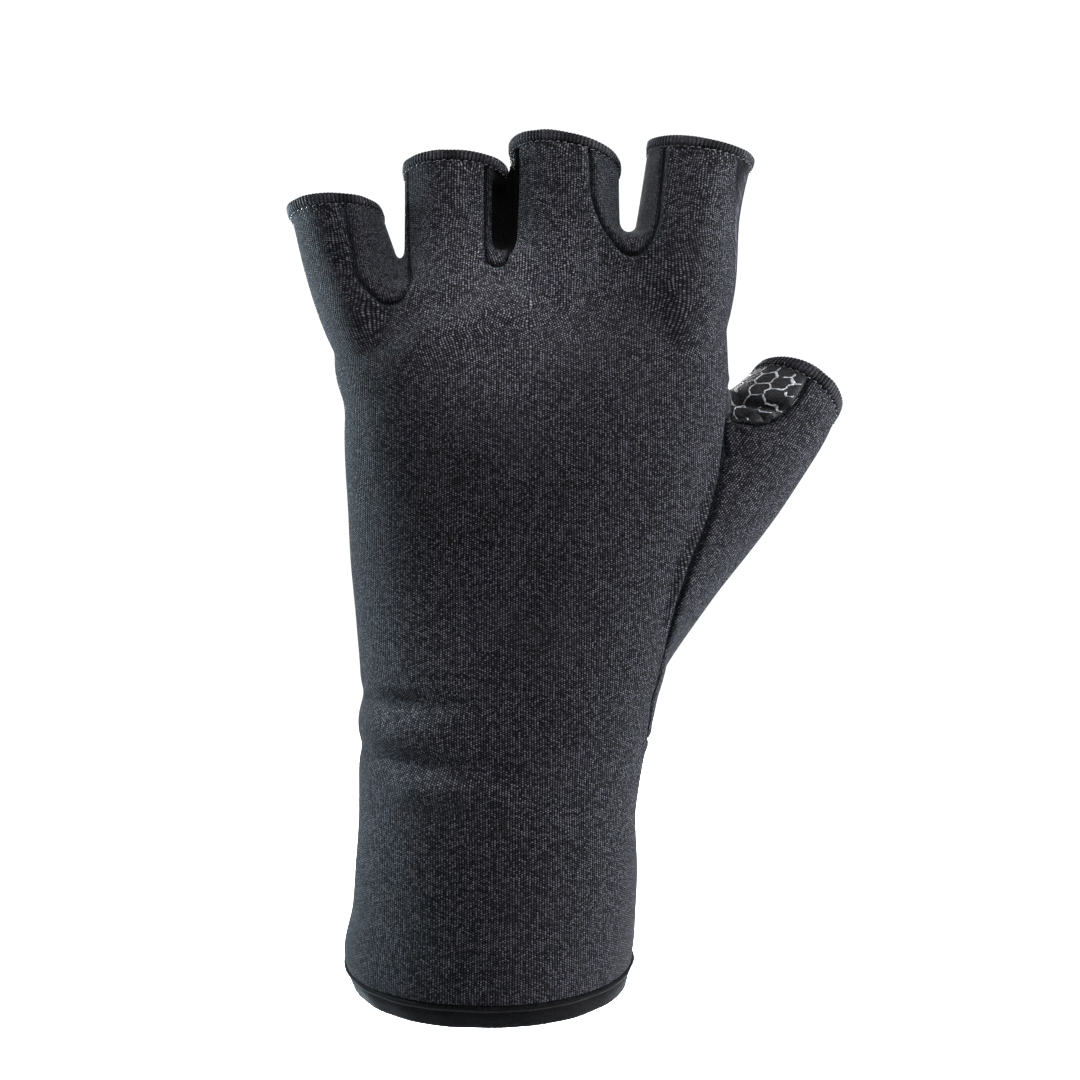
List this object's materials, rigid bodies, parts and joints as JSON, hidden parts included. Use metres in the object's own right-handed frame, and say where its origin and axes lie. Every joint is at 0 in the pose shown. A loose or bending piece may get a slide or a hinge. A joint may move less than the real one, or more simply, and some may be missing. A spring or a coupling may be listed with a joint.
{
  "type": "fingerless thermal glove",
  "caption": "Fingerless thermal glove for the left hand, sewn from softshell with a grip palm, finger gussets, elastic tape round the open fingers and thumb, and a hemmed cuff.",
  "frame": {"origin": "centre of the wrist opening, in the plane of the hem's lower edge", "axes": "+Z from the wrist to the fingers, -Y out of the back of the hand, +X to the thumb side"},
  "size_m": [0.1391, 0.0652, 0.2078],
  "materials": {
    "shell_fabric": "charcoal black fine knit with a soft sheen",
    "grip_fabric": "black smooth knit with a raised silver-grey honeycomb print",
    "binding_tape": "black ribbed elastic tape, matt",
    "hem_tape": "black smooth knit hem, matt"
  },
  "bodies": {
    "root": {"back_panel": "shell_fabric", "palm_panel": "grip_fabric", "thumb_panel": "shell_fabric", "cuff_hem": "hem_tape", "fourchette_pinky_ring": "shell_fabric", "fourchette_ring_middle": "shell_fabric", "fourchette_middle_index": "shell_fabric", "binding_pinky": "binding_tape", "binding_ring": "binding_tape", "binding_middle": "binding_tape", "binding_index": "binding_tape", "binding_thumb": "binding_tape"}
  },
  "joints": []
}
